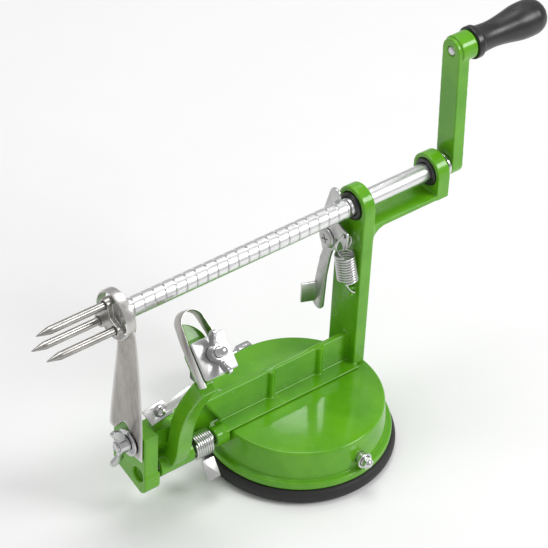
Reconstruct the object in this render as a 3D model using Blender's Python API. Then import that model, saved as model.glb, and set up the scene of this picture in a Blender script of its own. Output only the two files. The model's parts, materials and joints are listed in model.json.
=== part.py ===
"""Hand-cranked apple peeler, corer and slicer on a suction base.

The origin is the centre of the suction pad's underside. The feed screw runs along X, with the
fork at -X and the crank at +X. Every size below is in millimetres; MM turns them into metres.
"""

import math

import bmesh
import bpy
from mathutils import Matrix, Vector

MM = 0.001
GAP = 0.3

# Suction base
PAD_RADIUS = 52.5
PAD_HEIGHT = 8.0
DRUM_FLANGE_RADIUS = 50.1
DRUM_FOOT_RADIUS = 47.0
DRUM_TOP_RADIUS = 45.6
DRUM_BOTTOM = PAD_HEIGHT + GAP
DRUM_LEDGE = 12.6
DRUM_TOP = 29.7
DRUM_WALL = 3.0
CAM_AXIS = (5.0, 18.0)
CAM_THROW = 3.0
FRAME_SCREWS = (("front_frame_screw", (-34.0, 11.2)), ("rear_frame_screw", (39.4, 4.0)))
FRAME_SCREW_RADIUS = 1.3
FRAME_SCREW_TOP = 35.7

# Frame casting
FRAME_BOTTOM = DRUM_TOP + GAP
FOOT_TOP = 31.2
WEB_NEAR, WEB_FAR = 5.9, 9.1
RIDGE = 49.1
COLUMN_FRONT, COLUMN_BACK = 37.0, 44.4
LUG_RADIUS = 10.75
REAR_LUG_RADIUS = 10.2
REAR_LUG = (86.5, 94.3)
SLAB = (118.7, 121.4)
BLOCK = (-102.0, -93.5)
BLOCK_TOP = 54.0

# Feed screw, on the feed axis
FEED = (11.03, 131.4)
THREAD_RADIUS = 5.08
GROOVE_DEPTH = 0.7
PITCH = 6.35
THREAD_START, THREAD_END = -106.0, 34.5
SHANK_RADIUS = 4.95
SHANK_END = 98.7
BUSH_RADIUS = 7.5

# Fork
HUB = (-116.0, -106.3)
PRONG_RADIUS = 2.1
PRONG_LENGTH = 39.3
PRONG_CIRCLE = 7.6
PRONG_ANGLES = (78.0, 198.0, 318.0)

# Crank
CRANK = (98.7, 105.9)
CRANK_PIN = (14.0, 201.0)
CRANK_HALF_WIDTH = 6.6
CRANK_BOSS = 4.6
SPINDLE_RADIUS = 2.5

# Thread latch
LATCH_PLATE = (30.6, 32.0)
LATCH_PIVOT = (20.7, 107.0)

# Corer and slicer blade
RING = (-112.4, -107.0)
RING_RADIUS = 13.4
RING_WALL = 0.9
STRIP_THICKNESS = 1.2
STRIP_FACE = -102.9
STRIP_FLAT = 44.0
RING_BOTTOM = 119.5
CORER_BOLT = (7.5, 46.0)

# Peel arm, on its axle
AXLE = (1.5, 27.0)
AXLE_RADIUS = 3.0
ARM = (-86.0, -77.0)
BARREL = (-91.0, -70.0)
HEAD_BASE = Vector((-75.0, -28.5, 104.7))
HEAD_ANGLE = 47.0
HEAD_WIDTH = 19.6

# Hold-back latch
HOLD_PIVOT = Vector((-85.0, 6.5, 57.0))
HOLD_TILT = 20.0
HOLD_RISE = 14.0


def clear_scene():
    for obj in list(bpy.data.objects):
        bpy.data.objects.remove(obj, do_unlink=True)


def make_material(name, colour, roughness, metallic):
    material = bpy.data.materials.new(name)
    material.use_nodes = True
    shader = material.node_tree.nodes["Principled BSDF"]
    shader.inputs["Base Color"].default_value = (*colour, 1.0)
    shader.inputs["Roughness"].default_value = roughness
    shader.inputs["Metallic"].default_value = metallic
    return material


def make_object(name, bm, material=None, pivot=(0.0, 0.0, 0.0)):
    """Turn a mesh in millimetres into an object whose origin is at pivot."""
    bmesh.ops.recalc_face_normals(bm, faces=bm.faces)
    bmesh.ops.translate(bm, verts=bm.verts, vec=-Vector(pivot))
    bmesh.ops.scale(bm, verts=bm.verts, vec=(MM, MM, MM))
    mesh = bpy.data.meshes.new(name)
    bm.to_mesh(mesh)
    bm.free()
    mesh.shade_smooth()
    mesh.set_sharp_from_angle(angle=math.radians(35.0))
    obj = bpy.data.objects.new(name, mesh)
    obj.location = Vector(pivot) * MM
    bpy.context.scene.collection.objects.link(obj)
    if material is None:
        obj.hide_render = True
        obj.display_type = "WIRE"
    else:
        mesh.materials.append(material)
    return obj


def combine(target, tool_mesh, operation):
    """Add a Boolean of a hidden helper to the target object."""
    tool = make_object(f"{target.name}_{operation.lower()}_{len(target.modifiers)}", tool_mesh)
    modifier = target.modifiers.new(operation.title(), "BOOLEAN")
    modifier.operation = operation
    modifier.object = tool
    modifier.solver = "EXACT"


def cut(target, tool_mesh):
    combine(target, tool_mesh, "DIFFERENCE")


def join(target, tool_mesh):
    combine(target, tool_mesh, "UNION")


def place(axis, u, v, w):
    """Point (u, v) of an outline, at distance w along the axis."""
    return {"X": (w, u, v), "Y": (u, w, v), "Z": (u, v, w)}[axis]


def arc(centre, radius, start, end, steps):
    """Points of an arc, in degrees, both ends included."""
    angles = [math.radians(start + (end - start) * i / steps) for i in range(steps + 1)]
    return [(centre[0] + radius * math.cos(a), centre[1] + radius * math.sin(a)) for a in angles]


def loft(rings, closed=False):
    """A solid through rings of points; closed joins the last ring to the first."""
    bm = bmesh.new()
    rows = [[bm.verts.new(point) for point in ring] for ring in rings]
    pairs = list(zip(rows, rows[1:]))
    if closed:
        pairs.append((rows[-1], rows[0]))
    count = len(rows[0])
    for first, second in pairs:
        for i in range(count):
            j = (i + 1) % count
            bm.faces.new((first[i], first[j], second[j], second[i]))
    if not closed:
        bm.faces.new(rows[0])
        bm.faces.new(rows[-1])
    return bm


def prism(outline, axis, low, high):
    """An outline extruded along an axis."""
    return loft([[place(axis, u, v, w) for u, v in outline] for w in (low, high)])


def box(low, high):
    outline = [(low[0], low[1]), (high[0], low[1]), (high[0], high[1]), (low[0], high[1])]
    return prism(outline, "Z", low[2], high[2])


def turned(profile, axis, centre, segments=24, hollow=False):
    """A profile of (distance along the axis, radius) turned about the axis."""
    rings = []
    for w, radius in profile:
        circle = arc(centre, radius, 0.0, 360.0 * (segments - 1) / segments, segments - 1)
        rings.append([place(axis, u, v, w) for u, v in circle])
    return loft(rings, closed=hollow)


def rod(axis, centre, radius, low, high, segments=20, chamfer=0.0):
    """A cylinder, with its ends chamfered if wanted."""
    if not chamfer:
        return turned([(low, radius), (high, radius)], axis, centre, segments)
    small = radius - chamfer
    profile = [(low, small), (low + chamfer, radius), (high - chamfer, radius), (high, small)]
    return turned(profile, axis, centre, segments)


def washer(axis, centre, inner, outer, low, high, segments=24):
    profile = [(low, inner), (low, outer), (high, outer), (high, inner)]
    return turned(profile, axis, centre, segments, hollow=True)


def tube(path, radius, segments=8):
    """A round wire along a path of points."""
    points = [Vector(point) for point in path]
    side = None
    rings = []
    for i, point in enumerate(points):
        tangent = (points[min(i + 1, len(points) - 1)] - points[max(i - 1, 0)]).normalized()
        if side is None:
            side = tangent.orthogonal().normalized()
        side = (side - tangent * side.dot(tangent)).normalized()
        other = tangent.cross(side)
        circle = arc((0.0, 0.0), radius, 0.0, 360.0 * (segments - 1) / segments, segments - 1)
        rings.append([point + side * u + other * v for u, v in circle])
    return loft(rings)


def helix(axis, centre, radius, low, high, turns, steps=12, start=0.0):
    """Points of a coil along an axis."""
    points = []
    count = round(turns * steps)
    for i in range(count + 1):
        angle = math.radians(start) + 2.0 * math.pi * turns * i / count
        u = centre[0] + radius * math.cos(angle)
        v = centre[1] + radius * math.sin(angle)
        points.append(place(axis, u, v, low + (high - low) * i / count))
    return points


def band(path, thickness):
    """The closed outline of a strip of even thickness, bent along a flat path."""
    left, right = [], []
    for i, (u, v) in enumerate(path):
        ahead = path[min(i + 1, len(path) - 1)]
        behind = path[max(i - 1, 0)]
        du, dv = ahead[0] - behind[0], ahead[1] - behind[1]
        length = math.hypot(du, dv)
        offset_u, offset_v = -dv / length * thickness / 2.0, du / length * thickness / 2.0
        left.append((u + offset_u, v + offset_v))
        right.append((u - offset_u, v - offset_v))
    return left + right[::-1]


def moved(bm, matrix):
    bmesh.ops.transform(bm, matrix=matrix, verts=bm.verts)
    return bm


def wing_nut(height=9.4, reach=11.6):
    """A wing nut on the Z axis, its foot at Z 0 and its wings along X, as a core and its wings."""
    core = washer("Z", (0.0, 0.0), 2.8, 4.4, 0.0, 5.5, 16)
    wings = []
    for side in (-1.0, 1.0):
        root, tip = 3.4 * side, reach * side
        mid = (root + tip) / 2.0
        outline = [(root, 0.6), (mid, 1.6), (tip, height - 5.6), (tip, height - 1.5)]
        outline += [(tip - 1.6 * side, height), (mid, height - 2.6), (root, 5.2)]
        wings.append(prism(outline, "Y", -1.0, 1.0))
    return core, wings


def make_base(green, rubber, steel, black):
    """The suction pad, the drum over it, and the screws that hold the frame down on the drum."""
    pad = [(0.0, 49.5), (1.6, 52.0), (4.0, PAD_RADIUS), (6.4, 52.0), (PAD_HEIGHT, 50.8)]
    pad += [(PAD_HEIGHT, 45.0), (4.0, 41.0), (4.0, 12.0)]
    make_object("suction_pad", turned(pad, "Z", (0.0, 0.0), 48), rubber)

    outer = [(DRUM_BOTTOM, DRUM_FLANGE_RADIUS - 0.6), (DRUM_BOTTOM + 0.8, DRUM_FLANGE_RADIUS)]
    outer += [(DRUM_LEDGE - 0.8, DRUM_FLANGE_RADIUS), (DRUM_LEDGE, DRUM_FLANGE_RADIUS - 0.9)]
    outer += [(DRUM_LEDGE + 0.3, DRUM_FOOT_RADIUS + 0.5), (DRUM_LEDGE + 1.2, DRUM_FOOT_RADIUS)]
    outer += [(DRUM_TOP - 1.5, DRUM_TOP_RADIUS + 0.05), (DRUM_TOP - 0.45, DRUM_TOP_RADIUS - 0.45)]
    outer += [(DRUM_TOP, DRUM_TOP_RADIUS - 1.5)]
    drum = make_object("base_drum", turned(outer, "Z", (0.0, 0.0), 64), green)
    inner = [(0.0, DRUM_FOOT_RADIUS - DRUM_WALL), (DRUM_TOP - DRUM_WALL, DRUM_TOP_RADIUS - DRUM_WALL)]
    cut(drum, turned(inner, "Z", (0.0, 0.0), 48))
    x, z = CAM_AXIS
    cut(drum, rod("Y", (x, z), 3.3, -60.0, 60.0))
    under = DRUM_TOP - DRUM_WALL - GAP
    for name, centre in FRAME_SCREWS:
        cut(drum, rod("Z", centre, FRAME_SCREW_RADIUS + GAP, 20.0, 40.0, 12))
        screw = [(under - 3.6, 2.5), (under - 3.0, 2.7), (under, 2.7)]
        screw += [(under, FRAME_SCREW_RADIUS), (FRAME_SCREW_TOP, FRAME_SCREW_RADIUS)]
        make_object(name, turned(screw, "Z", centre, 12), steel)

    make_cam(steel, black)


def make_cam(steel, black):
    """The lever, its cross shaft with an eccentric middle, and the stem that lifts the pad."""
    x, z = CAM_AXIS
    pivot = (x, 0.0, z)
    shaft = make_object("cam_shaft", rod("Y", (x, z), 3.0, -51.5, 55.5, 16), steel, pivot)
    join(shaft, rod("Y", (x - CAM_THROW, z), 3.6, -3.7, 3.7, 16))
    cap = [(-55.2, 1.7), (-54.6, 2.6), (-53.0, 3.1), (-51.8, 3.3)]
    make_object("cap_nut", turned(cap, "Y", (x, z), 16), steel, pivot)
    make_object("cam_washer", washer("Y", (x, z), 3.3, 4.4, -50.6, -49.0, 20), steel, pivot)

    stem = make_object("pad_stem", box((-9.0, -3.4, 6.2), (12.0, 3.4, 23.4)), steel)
    join(stem, rod("Z", (0.0, 0.0), 10.5, 4.3, 6.6, 24))
    cut(stem, box((-3.2, -5.0, 11.4), (8.8, 5.0, 22.4)))

    lever = prism([(x - 5.0, z - 5.0), (x + 5.0, z - 5.0), (x + 5.0, z + 5.0), (x - 5.0, z + 5.0)],
                  "Y", 51.0, 55.0)
    lever = make_object("suction_lever", lever, steel, pivot)
    join(lever, box((x - 32.0, 51.8, z - 3.5), (x - 2.0, 54.0, z + 3.5)))
    cut(lever, rod("Y", (x, z), 3.3, 40.0, 60.0, 16))
    grip = [(x - 34.0, z - 5.0), (x - 12.0, z - 5.0), (x - 12.0, z + 5.0), (x - 34.0, z + 5.0)]
    grip = make_object("lever_grip", prism(grip, "Y", 49.8, 56.2), black, pivot)
    cut(grip, box((x - 32.0 - GAP, 51.8 - GAP, z - 3.5 - GAP), (x, 54.0 + GAP, z + 3.5 + GAP)))


def lug_outline(radius, bottom, steps=14):
    """The round-topped outline of a bearing lug, down to a level."""
    top = arc(FEED, radius, 0.0, 180.0, steps)
    return top + [(FEED[0] - radius, bottom), (FEED[0] + radius, bottom)]


def make_frame(green):
    """The casting: beam, column, bearing lugs, neck, front block and the lugs for the latches."""
    column = prism(lug_outline(LUG_RADIUS, FRAME_BOTTOM), "X", COLUMN_FRONT, COLUMN_BACK)
    frame = make_object("frame_casting", column, green)
    near = FEED[0] - REAR_LUG_RADIUS
    far = FEED[0] + REAR_LUG_RADIUS
    join(frame, prism(lug_outline(REAR_LUG_RADIUS, SLAB[0] - 0.3), "X", *REAR_LUG))
    fillet = 8.0
    corner = (COLUMN_BACK + fillet, SLAB[0] - fillet)
    slab = [(COLUMN_BACK - 2.0, SLAB[1]), (REAR_LUG[1] - 1.0, SLAB[1]), (REAR_LUG[1] - 1.0, SLAB[0])]
    slab += arc(corner, fillet, 90.0, 180.0, 6) + [(COLUMN_BACK - 2.0, SLAB[0] - fillet)]
    join(frame, prism(slab, "Y", near + 0.01, far - 0.01))

    web = [(-58.0, RIDGE), (-46.0, FOOT_TOP - 0.6), (-46.0, FRAME_BOTTOM)]
    web += [(COLUMN_FRONT + 2.0, FRAME_BOTTOM), (COLUMN_FRONT + 2.0, RIDGE)]
    join(frame, prism(web, "Y", WEB_NEAR, WEB_FAR))
    join(frame, box((-50.0, -2.8, FRAME_BOTTOM), (COLUMN_FRONT + 2.0, WEB_NEAR + 1.0, FOOT_TOP)))
    for along in (-14.0, 17.8):
        join(frame, rod("Z", (along, WEB_NEAR + 0.3), 2.1, FOOT_TOP - 0.5, RIDGE - 0.02, 12))

    neck = [(-95.0, 21.0), (-53.0, 21.0), (-50.4, FRAME_BOTTOM), (-20.0, FRAME_BOTTOM)]
    neck += [(-44.0, 46.5), (-95.0, 46.5)]
    join(frame, prism(neck, "Y", WEB_FAR - 0.6, 14.0))
    cut(frame, rod("X", AXLE, 7.6, -69.6, -56.0, 24))
    for _, centre in FRAME_SCREWS:
        cut(frame, rod("Z", centre, FRAME_SCREW_RADIUS + GAP, 20.0, FRAME_SCREW_TOP + GAP, 12))
    make_front_block(frame)

    join(frame, box((-50.0, -2.7, 23.0), (-46.8, WEB_NEAR - 0.1, FOOT_TOP - 0.1)))
    join(frame, rod("X", AXLE, 5.3, -55.0, -46.9, 20))
    cut(frame, rod("X", AXLE, AXLE_RADIUS + GAP, -60.0, -48.4, 16))

    join(frame, rod("X", LATCH_PIVOT, 4.2, LATCH_PLATE[1] + GAP, COLUMN_FRONT + 1.0, 16))
    cut(frame, rod("X", LATCH_PIVOT, 2.3, 20.0, COLUMN_FRONT, 12))
    join(frame, box((33.4, 2.6, 78.0), (COLUMN_FRONT + 1.0, 5.4, 83.6)))
    cut(frame, rod("Y", (35.3, 81.0), 0.95, 0.0, 8.0, 10))

    for low, high in ((COLUMN_FRONT - 1.0, COLUMN_BACK + 1.0), (REAR_LUG[0] - 1.0, REAR_LUG[1] + 1.0)):
        cut(frame, rod("X", FEED, BUSH_RADIUS + GAP, low, high, 24))


def make_front_block(frame):
    """The plate at the frame's far end, which carries the corer blade and the arm's axle."""
    outline = [(23.0, BLOCK_TOP - 3.0), (20.0, BLOCK_TOP), (-4.5, BLOCK_TOP)]
    outline += [(-4.5, 21.0)] + arc((0.4, 20.9), 4.9, 190.0, 255.0, 5) + [(21.0, 22.0), (23.0, 24.0)]
    join(frame, prism(outline, "X", *BLOCK))
    boss = [(7.4, 21.0), (7.4, 28.5), (-5.2, 28.5), (-5.2, 21.5)]
    boss += arc((0.3, 21.4), 5.5, 190.0, 262.0, 6)
    join(frame, prism(boss, "X", BLOCK[0] + 0.01, BLOCK[1] + 0.9))
    cut(frame, rod("X", AXLE, AXLE_RADIUS + GAP, -110.0, -90.0, 16))
    cut(frame, rod("X", AXLE, 4.3, -110.0, BLOCK[0] + 3.0, 16))
    cut(frame, rod("X", CORER_BOLT, 2.5 + GAP, -110.0, BLOCK[1] - 1.2, 14))
    post = box((-93.9, 1.0, 40.0), (-80.0, 13.0, 50.4))
    join(frame, post)
    cut(frame, hold_frame_mesh(rod("Z", (0.0, 0.0), 2.0, -12.0, 12.0, 12)))


def make_bushes(black):
    for name, low, high in (("front_bush", COLUMN_FRONT - 1.2, COLUMN_BACK + 0.4),
                            ("rear_bush", REAR_LUG[0] - 0.8, REAR_LUG[1] + 0.6)):
        make_object(name, washer("X", FEED, THREAD_RADIUS + 0.25, BUSH_RADIUS, low, high, 24), black)


def thread_mesh(segments=16):
    """The feed screw: a shank with one helical groove, closed at both ends."""
    edges = ((0.0, 0.0), (0.10, GROOVE_DEPTH), (0.22, GROOVE_DEPTH), (0.32, 0.0))
    first = -1
    turns = math.ceil((THREAD_END - THREAD_START) / PITCH) + 1
    bm = bmesh.new()
    columns = []
    for j in range(segments + 1):
        angle = 2.0 * math.pi * j / segments
        column = []
        for k in range(first, turns):
            for phase, depth in edges:
                x = THREAD_START + PITCH * (k + phase + j / segments)
                inside = THREAD_START < x < THREAD_END
                radius = THREAD_RADIUS - (depth if inside else 0.0)
                x = min(max(x, THREAD_START), THREAD_END)
                y = FEED[0] + radius * math.cos(angle)
                z = FEED[1] - radius * math.sin(angle)
                column.append(bm.verts.new((x, y, z)))
        columns.append(column)
    for left, right in zip(columns, columns[1:]):
        for k in range(len(left) - 1):
            bm.faces.new((left[k], left[k + 1], right[k + 1], right[k]))
    bmesh.ops.remove_doubles(bm, verts=bm.verts, dist=0.0001)
    bmesh.ops.dissolve_degenerate(bm, dist=0.0001, edges=bm.edges)
    for level in (THREAD_START, THREAD_END):
        rim = [edge for edge in bm.edges if edge.is_boundary
               and abs(edge.verts[0].co.x - level) < 0.001 and abs(edge.verts[1].co.x - level) < 0.001]
        bmesh.ops.holes_fill(bm, edges=rim)
    return bm


def make_feed(steel):
    """The feed screw, its fork, the crank with its handle, and the washer that takes the thrust."""
    pivot = (0.0, *FEED)
    screw = make_object("feed_screw", thread_mesh(), steel, pivot)
    join(screw, rod("X", FEED, SHANK_RADIUS, THREAD_END - 2.0, SHANK_END - GAP, 16))
    make_fork(steel, pivot)

    collar = washer("X", FEED, SHANK_RADIUS + GAP, 6.8, CRANK[0] - 2.1, CRANK[0] - GAP, 24)
    make_object("crank_washer", collar, steel, pivot)
    head = [(CRANK[1] + GAP, 4.4), (CRANK[1] + 1.1, 4.2), (CRANK[1] + 1.9, 2.6)]
    make_object("crank_screw", turned(head, "X", FEED, 16), steel, pivot)


def make_fork(steel, pivot):
    """The cast hub and the pointed prongs pressed into it."""
    outline = []
    for angle in PRONG_ANGLES:
        centre = (FEED[0] + PRONG_CIRCLE * math.cos(math.radians(angle)),
                  FEED[1] + PRONG_CIRCLE * math.sin(math.radians(angle)))
        outline += arc(centre, 3.6, angle - 60.0, angle + 60.0, 5)
    hub = make_object("fork_hub", prism(outline, "X", HUB[0], HUB[0] + 5.0), steel, pivot)
    join(hub, turned([(HUB[0] + 4.0, 9.0), (HUB[0] + 7.0, 7.6), (HUB[1], 6.4)], "X", FEED, 20))
    for name, angle in zip(("upper_prong", "near_prong", "far_prong"), PRONG_ANGLES):
        centre = (FEED[0] + PRONG_CIRCLE * math.cos(math.radians(angle)),
                  FEED[1] + PRONG_CIRCLE * math.sin(math.radians(angle)))
        cut(hub, rod("X", centre, PRONG_RADIUS + GAP, HUB[0] - 2.0, HUB[0] + 4.0, 12))
        tip = HUB[0] - PRONG_LENGTH
        profile = [(tip, 0.15), (tip + 7.0, PRONG_RADIUS), (HUB[0] + 4.0 - GAP, PRONG_RADIUS)]
        make_object(name, turned(profile, "X", centre, 12), steel, pivot)


def make_crank(green, steel, black):
    """The crank arm on the end of the feed screw, and the handle that turns on its spindle."""
    pivot = (0.0, *FEED)
    (y0, z0), (y1, z1) = FEED, CRANK_PIN
    lean = math.degrees(math.atan2(z1 - z0, y1 - y0)) - 90.0
    outline = arc(CRANK_PIN, CRANK_HALF_WIDTH, lean, lean + 180.0, 10)
    outline += arc(FEED, CRANK_HALF_WIDTH, lean + 180.0, lean + 360.0, 10)
    arm = make_object("crank_arm", prism(outline, "X", *CRANK), green, pivot)
    join(arm, rod("X", CRANK_PIN, 7.6, CRANK[0] + 2.2, CRANK[1] + CRANK_BOSS, 20))
    cut(arm, rod("X", CRANK_PIN, SPINDLE_RADIUS + GAP, CRANK[0] - 2.0, CRANK[1] + 8.0, 14))

    handle_pivot = (CRANK[1], *CRANK_PIN)
    spindle = [(CRANK[0] - 0.2, SPINDLE_RADIUS), (154.0, SPINDLE_RADIUS), (154.0, 4.4), (156.0, 4.4)]
    make_object("handle_spindle", turned(spindle, "X", CRANK_PIN, 14), steel, handle_pivot)
    start = CRANK[1] + CRANK_BOSS + GAP
    grip = [(start, 8.8), (start + 3.6, 8.8), (start + 4.2, 7.7), (start + 14.0, 7.1)]
    grip += [(start + 24.0, 8.2), (start + 34.0, 9.8), (start + 42.0, 9.6), (start + 46.5, 7.4)]
    grip += [(start + 48.4, 4.0)]
    grip = make_object("crank_handle", turned(grip, "X", CRANK_PIN, 28), black, handle_pivot)
    cut(grip, rod("X", CRANK_PIN, SPINDLE_RADIUS + GAP, start - 2.0, 153.5, 14))
    cut(grip, rod("X", CRANK_PIN, 4.4 + GAP, 153.2, 156.0 + GAP, 14))


def make_thread_latch(steel):
    """The sprung plate that holds the thread, its pivot screw and its spring."""
    pivot = (LATCH_PLATE[0], *LATCH_PIVOT)
    clear = THREAD_RADIUS + 0.35
    outline = arc((17.0, 137.2), 4.0, 20.0, 140.0, 5) + [(13.4, 138.0)]
    outline += arc(FEED, clear, 62.0, -62.0, 8)
    outline += [(14.0, 122.0), (9.0, 119.8), (6.4, 118.9), (5.2, 117.2), (5.4, 109.6)]
    outline += [(7.0, 108.4), (9.0, 109.0), (9.8, 111.0)]
    outline += [(14.6, 111.0)] + arc(LATCH_PIVOT, 7.4, 200.0, 235.0, 3)
    outline += [(20.0, 82.0), (21.0, 62.0)] + arc((25.2, 60.6), 4.2, 190.0, 340.0, 6)
    outline += [(28.6, 72.0), (25.4, 92.0), (23.8, 97.0), (27.0, 105.0), (26.0, 120.0)]
    plate = make_object("latch_plate", prism(outline, "X", *LATCH_PLATE), steel, pivot)
    tab = [(LATCH_PLATE[1] - 0.2, 27.0), (LATCH_PLATE[1] - 0.2, 28.4), (24.0, 31.6), (23.8, 30.2)]
    join(plate, prism(tab, "Z", 59.5, 71.9))
    cut(plate, rod("X", LATCH_PIVOT, 2.3, 20.0, 40.0, 12))
    cut(plate, rod("X", (7.6, 116.7), 1.35, 20.0, 40.0, 12))

    screw = [(COLUMN_FRONT - 0.8, 2.0), (LATCH_PLATE[0] - GAP, 2.0), (LATCH_PLATE[0] - GAP, 5.8)]
    screw += [(LATCH_PLATE[0] - 1.1, 5.6), (LATCH_PLATE[0] - 1.7, 4.2)]
    make_object("latch_pivot_screw", turned(screw[::-1], "X", LATCH_PIVOT, 16), steel, pivot)
    make_latch_spring(steel)


def make_latch_spring(steel):
    """A closely wound pull spring from the latch plate's ear down to the column's lug."""
    top, bottom = Vector((30.8, 6.6, 105.5)), Vector((31.6, 3.6, 90.4))
    down = (bottom - top).normalized()
    across = down.orthogonal().normalized()
    along = down.cross(across)
    coil_radius, turns, steps = 5.0, 9, 8
    path = []
    for i in range(turns * steps + 1):
        angle = 2.0 * math.pi * i / steps
        spot = top + (bottom - top) * (i / (turns * steps))
        path.append(spot + (across * math.cos(angle) + along * math.sin(angle)) * coil_radius)
    eye = [Vector((30.6 + 5.0 * math.cos(a), 7.6, 112.0 + 4.9 * math.sin(a)))
           for a in (math.radians(d) for d in range(-60, 250, 31))]
    hook = [Vector((32.4, 1.6, 83.6)), Vector((34.6, 1.4, 81.4)), Vector((35.3, 2.0, 81.0))]
    make_object("latch_spring", tube(eye + path + hook, 0.55, 6), steel)


def strip_row(z):
    """The corer strip's edges at height z: (x, y) of its near and far edges."""
    rise = max(0.0, (z - STRIP_FLAT) / (RING_BOTTOM - STRIP_FLAT))
    near = (STRIP_FACE - 4.4 * rise ** 2, -3.2 + 0.3 * rise)
    far = (STRIP_FACE - 8.6 * rise ** 2, 24.6 - 18.0 * rise ** 1.6)
    return near, far


def make_corer(steel):
    """The coring ring and slicing strip, and the bolt and wing nut that clamp it to the block."""
    rows = []
    for z in (39.5, STRIP_FLAT, 58.0, 72.0, 86.0, 98.0, 108.0, 114.0, RING_BOTTOM, 129.0):
        (near_x, near_y), (far_x, far_y) = strip_row(z)
        if z > RING_BOTTOM:
            far_x, far_y = near_x - 1.5, near_y + 3.5
        half = STRIP_THICKNESS / 2.0
        rows.append([(near_x - half, near_y, z), (near_x + half, near_y, z),
                     (far_x + half, far_y, z), (far_x - half, far_y, z)])
    blade = make_object("corer_blade", loft(rows), steel)
    slot = [(40.0, 20.0), (40.0, 46.0), (20.0, 46.5), (14.5, 54.0)]
    slot += arc((10.6, 53.4), 3.4, 60.0, 150.0, 4) + [(3.2, 46.0), (2.4, 38.0), (2.4, 20.0)]
    cut(blade, prism(slot, "X", -115.0, -95.0))
    join(blade, washer("X", FEED, RING_RADIUS - RING_WALL, RING_RADIUS, *RING, 32))
    cut(blade, rod("X", FEED, RING_RADIUS - RING_WALL, RING[0] - 2.0, RING[1] + 7.0, 32))

    stud = rod("X", CORER_BOLT, 2.5, -111.8, BLOCK[1] - 1.2 - GAP, 16, 0.4)
    make_object("corer_stud", stud, steel)
    face = BLOCK[0] - GAP - STRIP_THICKNESS - 0.35
    make_object("corer_washer", washer("X", CORER_BOLT, 2.8, 7.6, face - 1.0, face, 24), steel)
    turn = Matrix.Translation((face - 1.3, *CORER_BOLT)) @ Matrix.Rotation(math.radians(-90.0), 4, "Y")
    core, wings = wing_nut()
    pivot = (face - 1.3, *CORER_BOLT)
    nut = make_object("corer_wing_nut", moved(core, turn), steel, pivot)
    for wing in wings:
        join(nut, moved(wing, turn))


def head_frame():
    """Axes of the arm's head: X along it, Y up towards the feed screw, Z out of its face."""
    turn = Matrix.Rotation(math.radians(HEAD_ANGLE), 4, "X")
    return Matrix.Translation(HEAD_BASE) @ turn


def make_peel_arm(green, steel):
    """The arm on its axle, with the springs and the looped peeling blade clamped to its head."""
    pivot = (-75.0, *AXLE)
    make_object("arm_axle", rod("X", AXLE, AXLE_RADIUS, -97.2, -48.8, 16, 0.4), steel, pivot)

    spine = [AXLE, (-3.0, 33.0), (-5.6, 41.0), (-6.6, 50.0), (-8.6, 60.0), (-13.0, 73.0)]
    spine += [(-19.4, 86.0), (-25.0, 96.0)]
    arm = make_object("peel_arm", prism(band(spine, 8.6), "X", *ARM), green, pivot)
    join(arm, rod("X", AXLE, 6.2, *BARREL, 20))
    half = HEAD_WIDTH / 2.0 - 0.6
    top = [(-half, -3.0), (half, -3.0), (half, 12.0)]
    top += arc((-half, 15.0), 14.2, 0.0, 72.0, 7)
    top += [(-5.6, 28.0), (-6.2, 20.0), (-half, 13.0)]
    join(arm, moved(prism(top, "Z", -12.0, -8.6), head_frame()))
    join(arm, moved(box((-half + 0.4, -2.4, -9.1), (4.7, 17.7, -0.9)), head_frame()))
    cut(arm, rod("X", AXLE, AXLE_RADIUS + GAP, -95.0, -65.0, 16))
    cut(arm, moved(rod("Z", (0.0, 9.8), 2.8, -15.0, 2.0, 12), head_frame()))

    make_peeler_blade(steel, pivot)
    make_arm_spring(steel, pivot)


def make_peeler_blade(steel, pivot):
    """The U-shaped blade, its clamp plate, and the stud and wing nut through the plate."""
    side = HEAD_WIDTH / 2.0
    loop = [(-side - 0.4, -4.0), (-side - 0.4, 10.0), (-side - 0.3, 20.0)]
    loop += arc((-2.8, 27.6), 6.6, 170.0, 20.0, 12)
    loop += [(4.4, 25.0), (5.3, 20.0), (5.9, 14.0), (5.9, 0.0)]
    blade = moved(prism(band(loop, 0.7), "Z", -8.0, -0.6), head_frame())
    make_object("peeler_blade", blade, steel, pivot)
    plate = moved(box((-side, -1.0, -0.3), (side + 0.3, 18.8, 1.2)), head_frame())
    plate = make_object("clamp_plate", plate, steel, pivot)
    cut(plate, moved(rod("Z", (0.0, 9.8), 2.8, -5.0, 5.0, 12), head_frame()))
    stud = [(-15.4, 3.0), (-14.2, 5.2), (-12.3, 5.2), (-12.3, 2.5), (11.6, 2.5), (12.2, 2.1)]
    make_object("clamp_bolt", moved(turned(stud, "Z", (0.0, 9.8), 16), head_frame()), steel, pivot)
    turn = head_frame() @ Matrix.Translation((0.0, 9.8, 1.5)) @ Matrix.Rotation(math.pi / 2.0, 4, "Z")
    nut_pivot = head_frame() @ Vector((0.0, 9.8, 1.5))
    core, wings = wing_nut()
    nut = make_object("clamp_wing_nut", moved(core, turn), steel, nut_pivot)
    for wing in wings:
        join(nut, moved(wing, turn))


def make_arm_spring(steel, pivot):
    """The torsion spring round the axle, and the plated tab that its free leg bears on."""
    coil = helix("X", AXLE, 6.3, -68.6, -57.2, 7.5, 10, 130.0)
    make_object("arm_spring", tube(coil, 0.68, 6), steel, pivot)
    tab = [(-5.4, 21.6), (-11.8, 12.8), (-10.6, 11.9), (-4.2, 20.7)]
    make_object("spring_tab", prism(tab, "X", -66.2, -58.6), steel, pivot)


def hold_frame():
    """Axes of the hold-back latch: Z along its screw."""
    tilt = Matrix.Rotation(math.radians(HOLD_TILT), 4, "X")
    rise = Matrix.Rotation(math.radians(-HOLD_RISE), 4, "Y")
    return Matrix.Translation(HOLD_PIVOT) @ tilt @ rise


def hold_frame_mesh(bm):
    return moved(bm, hold_frame())


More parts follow.
